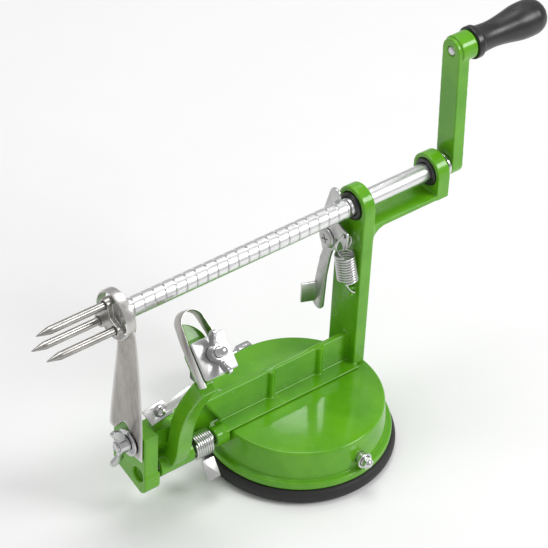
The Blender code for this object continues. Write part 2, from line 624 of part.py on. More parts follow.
def make_hold_latch(steel):
    """The latch that holds the peel arm back, its screw and its spring."""
    pivot = tuple(HOLD_PIVOT)
    outline = [(-8.0, -4.5), (5.0, -4.5), (6.0, -3.0), (20.0, 0.8), (20.6, 3.4), (18.0, 3.6)]
    outline += [(5.0, 1.8), (4.0, 4.5), (-8.0, 4.5)]
    plate = make_object("hold_latch", hold_frame_mesh(prism(outline, "Z", 1.0, 2.2)), steel, pivot)
    cut(plate, hold_frame_mesh(rod("Z", (0.0, 0.0), 1.9, -5.0, 5.0, 12)))
    screw = [(-8.0, 1.6), (2.5, 1.6), (2.5, 3.2), (3.4, 3.1), (4.6, 2.0)]
    make_object("hold_latch_screw", hold_frame_mesh(turned(screw, "Z", (0.0, 0.0), 16)), steel, pivot)
    coil = helix("Z", (0.0, 0.0), 2.9, -3.6, 0.1, 3.0, 10)
    make_object("hold_latch_spring", hold_frame_mesh(tube(coil, 0.5, 6)), steel, pivot)


def main():
    clear_scene()
    green = make_material("green_enamel", (0.16, 0.45, 0.05), 0.25, 0.0)
    rubber = make_material("black_rubber", (0.02, 0.02, 0.02), 0.7, 0.0)
    black = make_material("black_plastic", (0.03, 0.03, 0.03), 0.45, 0.0)
    steel = make_material("bright_steel", (0.75, 0.75, 0.76), 0.25, 1.0)
    make_base(green, rubber, steel, black)
    make_frame(green)
    make_bushes(black)
    make_feed(steel)
    make_crank(green, steel, black)
    make_thread_latch(steel)
    make_corer(steel)
    make_peel_arm(green, steel)
    make_hold_latch(steel)


main()
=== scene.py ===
"""The finished look of the hand-cranked apple peeler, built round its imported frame.

Sizes are in millimetres in the row frame: the feed screw runs along X, with the fork at -X and
the crank at +X, and Z is up. MM turns them into metres. Places come from the frame's boxes where
those give them; the other places are those of the part's own drawing.
"""

import json
import math

import bmesh
import bpy
from mathutils import Matrix, Vector


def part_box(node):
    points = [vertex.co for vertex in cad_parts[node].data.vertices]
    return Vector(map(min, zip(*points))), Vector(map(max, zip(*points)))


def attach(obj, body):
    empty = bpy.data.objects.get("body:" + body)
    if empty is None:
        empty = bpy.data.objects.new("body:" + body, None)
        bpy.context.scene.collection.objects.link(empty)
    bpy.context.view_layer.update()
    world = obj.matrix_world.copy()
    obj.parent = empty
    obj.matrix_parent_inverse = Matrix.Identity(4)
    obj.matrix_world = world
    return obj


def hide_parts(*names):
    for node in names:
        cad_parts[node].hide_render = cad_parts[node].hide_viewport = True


MM = 0.001
SHARP_ANGLE = 38.0
GAP = 0.3

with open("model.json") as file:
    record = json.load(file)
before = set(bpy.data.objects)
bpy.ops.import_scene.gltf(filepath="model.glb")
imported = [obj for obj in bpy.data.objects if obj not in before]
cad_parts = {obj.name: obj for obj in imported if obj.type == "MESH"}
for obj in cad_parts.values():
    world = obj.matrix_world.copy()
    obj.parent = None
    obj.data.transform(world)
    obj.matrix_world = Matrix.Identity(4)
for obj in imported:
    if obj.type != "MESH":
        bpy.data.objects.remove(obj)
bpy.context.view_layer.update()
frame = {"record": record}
RECORD = frame["record"]
NODE_BODY = {n: body for body, nodes in RECORD["behaviour"]["bodies"].items() for n in nodes}


def low_corner(node):
    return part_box(node)[0] / MM


def high_corner(node):
    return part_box(node)[1] / MM


def centre_of(node):
    return (low_corner(node) + high_corner(node)) / 2.0


def line_of(node, axis="X"):
    """Where a turned CAD node's axis crosses the plane square to it."""
    middle = centre_of(node)
    return {"X": (middle.y, middle.z), "Y": (middle.x, middle.z), "Z": (middle.x, middle.y)}[axis]


FEED = line_of("feed_screw")
PIN = line_of("crank_handle")
AXLE = line_of("arm_axle")
CORER = line_of("corer_stud")
LATCH_PIVOT = line_of("latch_pivot_screw")
CAM = line_of("cam_washer", "Y")

FRAME_SCREWS = ("front_frame_screw", "rear_frame_screw")
LATCH_PLATE = (30.6, 32.0)
SHAFT_BORE = 3.3
STUD_RADIUS = 2.5
STUD_BORE = STUD_RADIUS + GAP

# The arm's head: X along it, Y up the blade towards the feed screw, Z out of its face
HEAD = Matrix.Translation((-75.0, -28.5, 104.7)) @ Matrix.Rotation(math.radians(47.0), 4, "X")
HEAD_HALF = 9.8
STUD = (0.0, 9.8)

# The hold-back latch: Z along its screw
HOLD = (Matrix.Translation((-85.0, 6.5, 57.0)) @ Matrix.Rotation(math.radians(20.0), 4, "X")
        @ Matrix.Rotation(math.radians(-14.0), 4, "Y"))


# ---------------------------------------------------------------- materials


def new_material(name, colour, roughness, metallic):
    material = bpy.data.materials.new(name)
    material.use_nodes = True
    shader = material.node_tree.nodes["Principled BSDF"]
    shader.inputs["Base Color"].default_value = (*colour, 1.0)
    shader.inputs["Roughness"].default_value = roughness
    shader.inputs["Metallic"].default_value = metallic
    return material, shader


def add(material, kind, **settings):
    node = material.node_tree.nodes.new(kind)
    for key, value in settings.items():
        if key in node.inputs:
            node.inputs[key].default_value = value
        else:
            setattr(node, key.lower(), value)
    return node


def link(material, output, socket):
    material.node_tree.links.new(output, socket)


def noise(material, scale, stretch=(1.0, 1.0, 1.0), detail=4.0, rough=0.55):
    """Noise in object space; scale is features per metre, and stretch multiplies it on each axis."""
    place_at = add(material, "ShaderNodeTexCoord")
    turn = add(material, "ShaderNodeMapping")
    turn.inputs["Scale"].default_value = stretch
    texture = add(material, "ShaderNodeTexNoise", Scale=scale, Detail=detail, Roughness=rough)
    link(material, place_at.outputs["Object"], turn.inputs["Vector"])
    link(material, turn.outputs["Vector"], texture.inputs["Vector"])
    return texture.outputs["Fac"]


def remap(material, value, low, high, to_low=0.0, to_high=1.0):
    node = add(material, "ShaderNodeMapRange")
    names = ("From Min", "From Max", "To Min", "To Max")
    for name, amount in zip(names, (low, high, to_low, to_high)):
        node.inputs[name].default_value = amount
    link(material, value, node.inputs["Value"])
    return node.outputs["Result"]


def blend_colours(material, factor, first, second):
    """first where factor is 0 and second where it is 1; each is a colour or a socket."""
    node = add(material, "ShaderNodeMix")
    node.data_type = "RGBA"
    link(material, factor, node.inputs["Factor"])
    for socket, colour in ((node.inputs[6], first), (node.inputs[7], second)):
        if isinstance(colour, tuple):
            socket.default_value = (*colour, 1.0)
        else:
            link(material, colour, socket)
    return node.outputs[2]


def edges(material, low, high):
    """1 on outer edges, where wear shows, and 0 elsewhere; with low above high it is 1 in hollows instead, as
    for the painted groove shade of the feed screw.
    """
    geometry = add(material, "ShaderNodeNewGeometry")
    return remap(material, geometry.outputs["Pointiness"], low, high)


def multiply(material, first, second):
    node = add(material, "ShaderNodeMath", operation="MULTIPLY")
    link(material, first, node.inputs[0])
    link(material, second, node.inputs[1])
    return node.outputs["Value"]


def bump(material, shader, layers):
    """Stack height layers of (socket, strength, depth in millimetres) on the shader's normal."""
    normal = None
    for height, strength, depth in layers:
        node = add(material, "ShaderNodeBump")
        node.inputs["Strength"].default_value = strength
        node.inputs["Distance"].default_value = depth * MM
        link(material, height, node.inputs["Height"])
        if normal is not None:
            link(material, normal, node.inputs["Normal"])
        normal = node.outputs["Normal"]
    link(material, normal, shader.inputs["Normal"])


def enamel():
    """Gloss green enamel over a casting: orange peel, uneven depth and a thinner coat on the edges."""
    material, shader = new_material("green_enamel", (0.13, 0.42, 0.012), 0.2, 0.0)
    broad = noise(material, 55.0, detail=3.0)
    fine = noise(material, 1500.0, detail=2.0)
    body = blend_colours(material, remap(material, broad, 0.35, 0.65),
                         (0.100, 0.360, 0.007), (0.140, 0.435, 0.012))
    worn = multiply(material, edges(material, 0.53, 0.60), remap(material, noise(material, 240.0), 0.4, 0.7))
    link(material, blend_colours(material, worn, body, (0.27, 0.56, 0.04)), shader.inputs["Base Color"])
    link(material, remap(material, noise(material, 130.0), 0.3, 0.7, 0.16, 0.30), shader.inputs["Roughness"])
    shader.inputs["Specular IOR Level"].default_value = 0.30
    shader.inputs["Coat Weight"].default_value = 0.35
    shader.inputs["Coat Roughness"].default_value = 0.06
    bump(material, shader, [(noise(material, 90.0, detail=2.0), 0.25, 0.25), (fine, 0.18, 0.05)])
    return material


def plated():
    """Bright zinc and chrome plate: faint clouding, hairline scratches and duller edges."""
    material, shader = new_material("bright_plate", (0.66, 0.66, 0.67), 0.15, 1.0)
    cloud = noise(material, 160.0)
    hairs = noise(material, 500.0, stretch=(0.25, 3.0, 3.0), detail=6.0)
    link(material, blend_colours(material, remap(material, cloud, 0.35, 0.7),
                                 (0.70, 0.70, 0.71), (0.56, 0.56, 0.57)), shader.inputs["Base Color"])
    link(material, remap(material, hairs, 0.35, 0.7, 0.10, 0.24), shader.inputs["Roughness"])
    bump(material, shader, [(cloud, 0.15, 0.10), (hairs, 0.12, 0.03)])
    return material


def rolled_screw():
    """The feed screw's bright rolled steel: rubbed crests, hairlines, and painted shade darkening the groove.
    """
    material, shader = new_material("rolled_screw", (0.86, 0.86, 0.86), 0.30, 1.0)
    hairs = noise(material, 600.0, stretch=(0.2, 3.0, 3.0), detail=6.0)
    body = blend_colours(material, remap(material, hairs, 0.35, 0.7), (0.90, 0.90, 0.90), (0.74, 0.74, 0.75))
    # Painted shade: near-black colour laid into the concave thread groove and broken up by noise, standing in
    # for the shadow in the groove.
    groove_shade_breakup = remap(material, noise(material, 700.0, detail=3.0), 0.2, 0.6)
    groove_shade = multiply(material, edges(material, 0.488, 0.455), groove_shade_breakup)
    link(material, blend_colours(material, groove_shade, body, (0.16, 0.155, 0.15)), shader.inputs["Base Color"])
    link(material, remap(material, hairs, 0.35, 0.7, 0.26, 0.42), shader.inputs["Roughness"])
    bump(material, shader, [(hairs, 0.12, 0.03)])
    return material


def stamped_plate():
    """Dull zinc on stamped sheet: grey, clouded, with rubbed edges."""
    material, shader = new_material("stamped_plate", (0.50, 0.50, 0.50), 0.36, 1.0)
    cloud = noise(material, 210.0, detail=5.0)
    body = blend_colours(material, remap(material, cloud, 0.3, 0.7), (0.56, 0.56, 0.555), (0.42, 0.415, 0.41))
    body = blend_colours(material, edges(material, 0.52, 0.60), body, (0.78, 0.78, 0.78))
    link(material, body, shader.inputs["Base Color"])
    link(material, remap(material, cloud, 0.3, 0.7, 0.30, 0.44), shader.inputs["Roughness"])
    bump(material, shader, [(cloud, 0.20, 0.08), (noise(material, 1600.0, detail=2.0), 0.10, 0.02)])
    return material


def ground_steel():
    """Satin stainless sheet: long grain down the strip, darker streaks and a polished edge."""
    material, shader = new_material("ground_steel", (0.40, 0.38, 0.36), 0.34, 1.0)
    grain = noise(material, 420.0, stretch=(3.0, 3.0, 0.16), detail=8.0, rough=0.65)
    streak = noise(material, 90.0, stretch=(1.6, 1.6, 0.35), detail=4.0)
    body = blend_colours(material, remap(material, streak, 0.3, 0.7),
                         (0.40, 0.375, 0.35), (0.23, 0.215, 0.20))
    body = blend_colours(material, remap(material, grain, 0.35, 0.75), body, (0.52, 0.50, 0.475))
    body = blend_colours(material, edges(material, 0.52, 0.60), body, (0.80, 0.79, 0.78))
    link(material, body, shader.inputs["Base Color"])
    link(material, remap(material, grain, 0.3, 0.7, 0.26, 0.42), shader.inputs["Roughness"])
    bump(material, shader, [(grain, 0.30, 0.05), (streak, 0.10, 0.10)])
    return material


def fork_steel():
    """The fork's dulled tin plate: drawn lines along the prongs, and darker patches."""
    material, shader = new_material("fork_steel", (0.50, 0.49, 0.47), 0.28, 1.0)
    drawn = noise(material, 700.0, stretch=(0.12, 2.5, 2.5), detail=6.0)
    patch = noise(material, 140.0)
    body = blend_colours(material, remap(material, patch, 0.35, 0.7),
                         (0.44, 0.425, 0.405), (0.24, 0.23, 0.215))
    link(material, blend_colours(material, remap(material, drawn, 0.4, 0.7), body, (0.56, 0.55, 0.53)),
         shader.inputs["Base Color"])
    link(material, remap(material, patch, 0.3, 0.7, 0.20, 0.36), shader.inputs["Roughness"])
    bump(material, shader, [(drawn, 0.20, 0.05)])
    return material


def spring_wire():
    """Plain steel of the springs and turned rods: a fine grain and an uneven sheen."""
    material, shader = new_material("spring_wire", (0.70, 0.70, 0.70), 0.22, 1.0)
    drawn = noise(material, 2200.0, detail=3.0)
    link(material, blend_colours(material, drawn, (0.78, 0.78, 0.78), (0.58, 0.58, 0.57)),
         shader.inputs["Base Color"])
    link(material, remap(material, drawn, 0.3, 0.7, 0.16, 0.30), shader.inputs["Roughness"])
    bump(material, shader, [(drawn, 0.15, 0.02)])
    return material


def dark_moulding(name, colour, worn, low, high, grain_scale, depth):
    """Black rubber or plastic: a moulded grain, uneven sheen and greyer edges."""
    material, shader = new_material(name, colour, high, 0.0)
    grain = noise(material, grain_scale, detail=3.0)
    haze = noise(material, 120.0)
    rubbed = multiply(material, edges(material, 0.52, 0.62), remap(material, haze, 0.3, 0.7))
    body = blend_colours(material, remap(material, haze, 0.3, 0.75), colour, tuple(1.7 * c for c in colour))
    link(material, blend_colours(material, rubbed, body, worn), shader.inputs["Base Color"])
    link(material, remap(material, haze, 0.3, 0.7, low, high), shader.inputs["Roughness"])
    bump(material, shader, [(grain, 0.35, depth), (haze, 0.10, 0.15)])
    return material


ENAMEL = enamel()
PLATE = plated()
SCREW = rolled_screw()
STAMPED = stamped_plate()
STEEL = ground_steel()
FORK = fork_steel()
WIRE = spring_wire()
RUBBER = dark_moulding("black_rubber", (0.012, 0.012, 0.012), (0.05, 0.05, 0.05), 0.50, 0.68, 900.0, 0.06)
PLASTIC = dark_moulding("black_plastic", (0.016, 0.016, 0.017), (0.05, 0.05, 0.05), 0.26, 0.40, 1400.0, 0.04)


# ---------------------------------------------------------------- mesh helpers, in millimetres


def place(axis, u, v, w):
    """Point (u, v) of an outline, at distance w along the axis."""
    return {"X": (w, u, v), "Y": (u, w, v), "Z": (u, v, w)}[axis]


def arc(centre, radius, start, end, steps):
    """Points of an arc, in degrees, both ends included."""
    angles = [math.radians(start + (end - start) * i / steps) for i in range(steps + 1)]
    return [(centre[0] + radius * math.cos(a), centre[1] + radius * math.sin(a)) for a in angles]


def loft(rings, closed=False):
    """A solid through rings of points; closed joins the last ring to the first."""
    bm = bmesh.new()
    rows = [[bm.verts.new(point) for point in ring] for ring in rings]
    pairs = list(zip(rows, rows[1:]))
    if closed:
        pairs.append((rows[-1], rows[0]))
    count = len(rows[0])
    for first, second in pairs:
        for i in range(count):
            j = (i + 1) % count
            bm.faces.new((first[i], first[j], second[j], second[i]))
    if not closed:
        bm.faces.new(rows[0])
        bm.faces.new(rows[-1])
    return bm


def inset(outline, amount):
    """The outline moved inwards by an amount."""
    area = sum(a[0] * b[1] - b[0] * a[1] for a, b in zip(outline, outline[1:] + outline[:1]))
    sign = 1.0 if area > 0 else -1.0
    moved_points = []
    count = len(outline)
    for i, point in enumerate(outline):
        before, after = Vector(outline[i - 1]), Vector(outline[(i + 1) % count])
        here = Vector(point)
        one = (here - before).normalized()
        two = (after - here).normalized()
        normal = Vector((-(one.y + two.y), one.x + two.x))
        normal = normal.normalized() * sign
        stretch = max(0.5, normal.dot(Vector((-one.y, one.x)) * sign))
        moved_points.append(tuple(here + normal * (amount / stretch)))
    return moved_points


def prism(outline, axis, low, high, edge=0.0, steps=3):
    """An outline extruded along an axis, with its rims rounded by edge."""
    if not edge:
        return loft([[place(axis, u, v, w) for u, v in outline] for w in (low, high)])
    rings = []
    for w, turn in ((low, 1.0), (high, -1.0)):
        angles = [math.pi / 2.0 * i / steps for i in range(steps + 1)]
        if turn < 0:
            angles = angles[::-1]
        for a in angles:
            shape = inset(outline, edge * (1.0 - math.sin(a)))
            level = w + turn * edge * (1.0 - math.cos(a))
            rings.append([place(axis, u, v, level) for u, v in shape])
    return loft(rings)


def box(low, high):
    outline = [(low[0], low[1]), (high[0], low[1]), (high[0], high[1]), (low[0], high[1])]
    return prism(outline, "Z", low[2], high[2])


def rounded_box(centre, size, corner, steps=5):
    """The outline of a rectangle with round corners."""
    half_u, half_v = size[0] / 2.0 - corner, size[1] / 2.0 - corner
    outline = []
    for start, (u, v) in zip((0.0, 90.0, 180.0, 270.0), ((1, 1), (-1, 1), (-1, -1), (1, -1))):
        spot = (centre[0] + u * half_u, centre[1] + v * half_v)
        outline += arc(spot, corner, start, start + 90.0, steps)
    return outline


def turned(profile, axis, centre, segments=48, hollow=False):
    """A profile of (distance along the axis, radius) turned about the axis."""
    rings = []
    for w, radius in profile:
        circle = arc(centre, radius, 0.0, 360.0 * (segments - 1) / segments, segments - 1)
        rings.append([place(axis, u, v, w) for u, v in circle])
    return loft(rings, closed=hollow)


def rod(axis, centre, radius, low, high, segments=40, edge=0.0):
    """A cylinder with rounded ends."""
    if not edge:
        return turned([(low, radius), (high, radius)], axis, centre, segments)
    rise = arc((low + edge, radius - edge), edge, 180.0, 90.0, 4)
    fall = arc((high - edge, radius - edge), edge, 90.0, 0.0, 4)
    return turned(rise + fall, axis, centre, segments)


def washer(axis, centre, inner, outer, low, high, edge=0.2, segments=64):
    """A flat ring with its four rims rounded."""
    profile = arc((low + edge, inner + edge), edge, 270.0, 180.0, 3)
    profile += arc((low + edge, outer - edge), edge, 180.0, 90.0, 3)
    profile += arc((high - edge, outer - edge), edge, 90.0, 0.0, 3)
    profile += arc((high - edge, inner + edge), edge, 0.0, -90.0, 3)
    return turned(profile, axis, centre, segments, hollow=True)


def tube(path, radius, segments=12):
    """A round wire along a path of points, with its ends slightly rounded."""
    points = [Vector(point) for point in path]
    side = None
    rings = []
    for i, point in enumerate(points):
        tangent = (points[min(i + 1, len(points) - 1)] - points[max(i - 1, 0)]).normalized()
        if side is None:
            side = tangent.orthogonal().normalized()
        side = (side - tangent * side.dot(tangent)).normalized()
        other = tangent.cross(side)
        size = radius * (0.7 if i in (0, len(points) - 1) else 1.0)
        circle = arc((0.0, 0.0), size, 0.0, 360.0 * (segments - 1) / segments, segments - 1)
        rings.append([point + side * u + other * v for u, v in circle])
    return loft(rings)


def helix(axis, centre, radius, low, high, turns, steps=28, start=0.0):
    """Points of a coil along an axis."""
    points = []
    count = round(turns * steps)
    for i in range(count + 1):
        angle = math.radians(start) + 2.0 * math.pi * turns * i / count
        u = centre[0] + radius * math.cos(angle)
        v = centre[1] + radius * math.sin(angle)
        points.append(Vector(place(axis, u, v, low + (high - low) * i / count)))
    return points


def smooth(points, steps=6):
    """A Catmull-Rom curve through points of any dimension."""
    points = [Vector(p) for p in points]
    ends = [points[0] * 2.0 - points[1]] + points + [points[-1] * 2.0 - points[-2]]
    curve = []
    for i in range(1, len(ends) - 2):
        a, b, c, d = ends[i - 1:i + 3]
        for k in range(steps):
            t = k / steps
            curve.append(0.5 * (2.0 * b + (c - a) * t + (2.0 * a - 5.0 * b + 4.0 * c - d) * t ** 2
                                + (3.0 * b - a - 3.0 * c + d) * t ** 3))
    return [tuple(p) for p in curve + [points[-1]]]


def band(path, thickness):
    """The closed outline of a strip of even thickness, bent along a flat path."""
    left, right = [], []
    for i, (u, v) in enumerate(path):
        ahead = path[min(i + 1, len(path) - 1)]
        behind = path[max(i - 1, 0)]
        du, dv = ahead[0] - behind[0], ahead[1] - behind[1]
        length = math.hypot(du, dv)
        offset_u, offset_v = -dv / length * thickness / 2.0, du / length * thickness / 2.0
        left.append((u + offset_u, v + offset_v))
        right.append((u - offset_u, v - offset_v))
    return left + right[::-1]


def moved(bm, matrix):
    bmesh.ops.transform(bm, matrix=matrix, verts=bm.verts)
    return bm


def thread(axis_start, length, centre, radius, depth, pitch, width, segments=48, tip=0.8):
    """A rod along X with one helical groove of a rounded section, its ends chamfered by tip."""
    around = [0.0] + [width * i / 6.0 for i in range(1, 6)] + [width, (1.0 + width) / 2.0]
    turns = math.ceil(length / pitch) + 1
    start, end = axis_start, axis_start + length
    bm = bmesh.new()
    columns = []
    for j in range(segments):
        angle = 2.0 * math.pi * j / segments
        column = []
        for k in range(-1, turns):
            for phase in around:
                x = start + pitch * (k + phase + j / segments)
                in_groove = phase < width
                cut_depth = depth * math.sin(math.pi * (phase / width)) ** 0.5 if in_groove else 0.0
                margin = min(max(min(x - start, end - x), 0.0), tip)
                size = radius - max(cut_depth, tip - margin)
                x = min(max(x, start), end)
                column.append(bm.verts.new((x, centre[0] + size * math.cos(angle),
                                            centre[1] - size * math.sin(angle))))
        columns.append(column)
    shift = len(around)
    for j in range(segments):
        left, right = columns[j], columns[(j + 1) % segments]
        lead = shift if j == segments - 1 else 0
        for k in range(len(left) - 1):
            if k + 1 + lead >= len(right):
                break
            bm.faces.new((left[k], left[k + 1], right[k + 1 + lead], right[k + lead]))
    bmesh.ops.remove_doubles(bm, verts=bm.verts, dist=0.0005)
    bmesh.ops.dissolve_degenerate(bm, dist=0.0005, edges=bm.edges)
    for level in (start, end):
        rim = [edge for edge in bm.edges if edge.is_boundary
               and abs(edge.verts[0].co.x - level) < 0.001 and abs(edge.verts[1].co.x - level) < 0.001]
        bmesh.ops.holes_fill(bm, edges=rim)
    return bm


def stud_thread(start, length, centre):
    """The fine thread of the studs that carry the wing nuts."""
    depth, pitch, width = 0.3, 0.8, 0.9
    return thread(start, length, centre, STUD_RADIUS, depth, pitch, width, segments=32, tip=0.35)


# ---------------------------------------------------------------- objects


def raw_object(name, bm):
    """An object from a mesh in millimetres, which it uses up."""
    bmesh.ops.recalc_face_normals(bm, faces=bm.faces)
    bmesh.ops.scale(bm, verts=bm.verts, vec=(MM, MM, MM))
    mesh = bpy.data.meshes.new(name)
    bm.to_mesh(mesh)
    bm.free()
    obj = bpy.data.objects.new(name, mesh)
    bpy.context.scene.collection.objects.link(obj)
    return obj


def settle(obj):
    """Apply the object's modifiers."""
    bpy.context.view_layer.update()
    mesh = bpy.data.meshes.new_from_object(obj.evaluated_get(bpy.context.evaluated_depsgraph_get()))
    obj.modifiers.clear()
    obj.data = mesh
    return obj


def carve(name, solids, holes=()):
    """The union of some solids, less some holes; the first solid may already be an object."""
    first = solids[0]
    obj = first if isinstance(first, bpy.types.Object) else raw_object(name, first)
    tools = []
    for operation, meshes in (("UNION", solids[1:]), ("DIFFERENCE", holes)):
        for bm in meshes:
            tool = raw_object(f"{name}_tool_{len(tools)}", bm)
            modifier = obj.modifiers.new(operation, "BOOLEAN")
            modifier.operation = operation
            modifier.solver = "EXACT"
            modifier.object = tool
            tools.append(tool)
    settle(obj)
    for tool in tools:
        bpy.data.objects.remove(tool, do_unlink=True)
    return obj


def soften(obj, voxel, passes, keep=0.4):
    """Round every edge and corner of a casting, as sand casting and thick paint do."""
    modifier = obj.modifiers.new("Remesh", "REMESH")
    modifier.mode = "VOXEL"
    modifier.voxel_size = voxel * MM
    modifier = obj.modifiers.new("Smooth", "SMOOTH")
    modifier.factor = 0.5
    modifier.iterations = passes
    modifier = obj.modifiers.new("Thin", "DECIMATE")
    modifier.ratio = keep
    return settle(obj)


def bevel(obj, width, segments=2, angle=35.0):
    """Break the sharp edges of a stamped or machined piece."""
    modifier = obj.modifiers.new("Bevel", "BEVEL")
    modifier.width = width * MM
    modifier.segments = segments
    modifier.limit_method = "ANGLE"
    modifier.angle_limit = math.radians(angle)
    modifier.use_clamp_overlap = False
    return settle(obj)


def finish_piece(obj, material, node, sharp=SHARP_ANGLE):
    """Paint a piece, let it ride on its CAD node's body and stand for that node."""
    obj.data.materials.clear()
    obj.data.materials.append(material)
    obj.data.shade_smooth()
    obj.data.set_sharp_from_angle(angle=math.radians(sharp))
    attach(obj, NODE_BODY[node])
    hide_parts(node)
    return obj


def piece(name, bm, material, node, sharp=SHARP_ANGLE):
    return finish_piece(raw_object(name, bm), material, node, sharp)


def cross_recess(matrix, top, reach=1.9, width=0.7, depth=1.2):
    """Cutters for a cross recess in a screw head, in the screw's own axes."""
    cutters = []
    for turn in (20.0, 110.0):
        blade = box((-reach, -width / 2.0, top - depth), (reach, width / 2.0, top + 1.0))
        cutters.append(moved(blade, matrix @ Matrix.Rotation(math.radians(turn), 4, "Z")))
    return cutters


# ---------------------------------------------------------------- suction base


def make_base():
    """The rubber foot with its sealing rings, and the enamelled drum over it."""
    outer = high_corner("suction_pad").x
    height = high_corner("suction_pad").z
    lip = [(0.0, outer - 3.2), (0.5, outer - 1.6), (1.6, outer - 0.5), (3.2, outer - 0.02),
           (4.6, outer - 0.02), (6.2, outer - 0.5), (7.4, outer - 1.3), (height, outer - 2.4)]
    profile = smooth(lip, 4)
    profile += [(height, outer - 7.5), (5.4, outer - 9.5), (4.3, outer - 12.0), (4.0, 40.0), (4.0, 12.0)]
    grooves = [washer("Z", (0.0, 0.0), r - 0.7, r + 0.7, -1.0, 0.6, 0.1, 96) for r in (46.0, 41.0)]
    foot = carve("rubber_foot", [turned(profile, "Z", (0.0, 0.0), 128)], grooves)
    finish_piece(foot, RUBBER, "suction_pad")

    low, high = low_corner("base_drum"), high_corner("base_drum")
    flange, bottom, top = high.x, low.z, high.z
    ledge, waist, crown, wall = bottom + 4.3, 46.9, 45.6, 3.0
    profile = arc((bottom + 0.9, flange - 0.9), 0.9, 180.0, 90.0, 5)
    profile += arc((ledge - 1.1, flange - 1.1), 1.1, 90.0, 10.0, 6)
    profile += arc((ledge + 0.9, waist + 0.9), 0.9, 200.0, 265.0, 4)
    profile += arc((top - 1.5, crown - 1.5), 1.5, 85.0, 0.0, 8)
    profile += [(top, 30.0), (top, 10.0)]
    shell = turned(profile, "Z", (0.0, 0.0), 160)
    inner = turned([(-1.0, waist - wall), (top - wall, crown - wall)], "Z", (0.0, 0.0), 96)
    holes = [inner, rod("Y", CAM, SHAFT_BORE, -60.0, 60.0, 32)]
    for screw in FRAME_SCREWS:
        holes.append(rod("Z", line_of(screw, "Z"), 1.6, 20.0, 40.0, 24))
    finish_piece(carve("drum_shell", [shell], holes), ENAMEL, "base_drum")
    for screw in FRAME_SCREWS:
        spot, base = line_of(screw, "Z"), low_corner(screw).z
        head = [(base, 2.2), (base + 0.3, 2.55), (base + 0.7, 2.7), (base + 3.6, 2.7), (base + 3.6, 1.3)]
        head += [(high_corner(screw).z - 0.3, 1.3), (high_corner(screw).z, 1.0)]
        socket = turned([(base - 1.0, 1.3), (base + 1.6, 1.3)], "Z", spot, 6)
        obj = carve(screw.replace("_screw", "_bolt"), [turned(head, "Z", spot, 32)], [socket])
        finish_piece(obj, WIRE, screw)


def make_lever():
    """The cross shaft with its eccentric, the nut and washer on it, the stem and the lever."""
    x, z = CAM
    shaft_low, shaft_high = low_corner("cam_shaft").y, high_corner("cam_shaft").y
    throw = 3.0
    shaft = [rod("Y", CAM, 3.0, shaft_low, shaft_high, 40, 0.5),
             rod("Y", (x - throw, z), 3.6, -3.7, 3.7, 40, 0.3)]
    finish_piece(carve("cross_shaft", shaft), WIRE, "cam_shaft")
    low, high = low_corner("cap_nut").y, high_corner("cap_nut").y
    dome = [(low + 3.3 - 3.3 * math.cos(a), 2.8 * math.sin(a)) for a in
            (math.radians(d) for d in range(8, 91, 9))]
    hexagon = prism(arc(CAM, 3.3, 0.0, 300.0, 5), "Y", low + 1.7, high)
    nut = carve("acorn_nut", [turned(dome + [(high, 2.8)], "Y", CAM, 48), hexagon])
    finish_piece(nut, PLATE, "cap_nut", 30.0)
    low, high = low_corner("cam_washer").y, high_corner("cam_washer").y
    piece("shaft_washer", washer("Y", CAM, SHAFT_BORE, 4.4, low, high, 0.25), PLATE, "cam_washer")

    stem = [box((-9.0, -3.4, 6.2), (12.0, 3.4, high_corner("pad_stem").z)),
            rod("Z", (0.0, 0.0), 10.5, low_corner("pad_stem").z, 6.6, 64, 0.4)]
    stem = carve("lift_stem", stem, [box((-3.2, -5.0, 11.4), (8.8, 5.0, 22.4))])
    finish_piece(bevel(stem, 0.3), WIRE, "pad_stem")

    hub = prism(rounded_box(CAM, (10.0, 10.0), 2.0), "Y", 51.0, 55.0)
    blade = prism(rounded_box((x - 17.0, z), (30.0, 7.0), 2.0), "Y", 51.8, 54.0)
    lever = carve("clamp_lever", [hub, blade], [rod("Y", CAM, SHAFT_BORE, 40.0, 60.0, 32)])
    finish_piece(bevel(lever, 0.3), PLATE, "suction_lever")
    low, high = low_corner("lever_grip"), high_corner("lever_grip")
    middle = ((low.x + high.x) / 2.0, z)
    sleeve = prism(rounded_box(middle, (high.x - low.x, high.z - low.z), 3.0, 8), "Y", low.y, high.y, 1.4, 5)
    slot = box((x - 32.3, 51.5, z - 3.8), (x, 54.3, z + 3.8))
    ribs = [rod("Z", (low.x + 5.0 + 3.2 * i, side), 0.5, z - 6.0, z + 6.0, 16)
            for i in range(5) for side in (low.y, high.y)]
    finish_piece(carve("lever_sleeve", [sleeve], [slot] + ribs), PLASTIC, "lever_grip")


# ---------------------------------------------------------------- frame casting


def lug(radius, bottom, steps=40):
    """The round-topped outline of a bearing lug, down to a level."""
    return arc(FEED, radius, 0.0, 180.0, steps) + [(FEED[0] - radius, bottom), (FEED[0] + radius, bottom)]


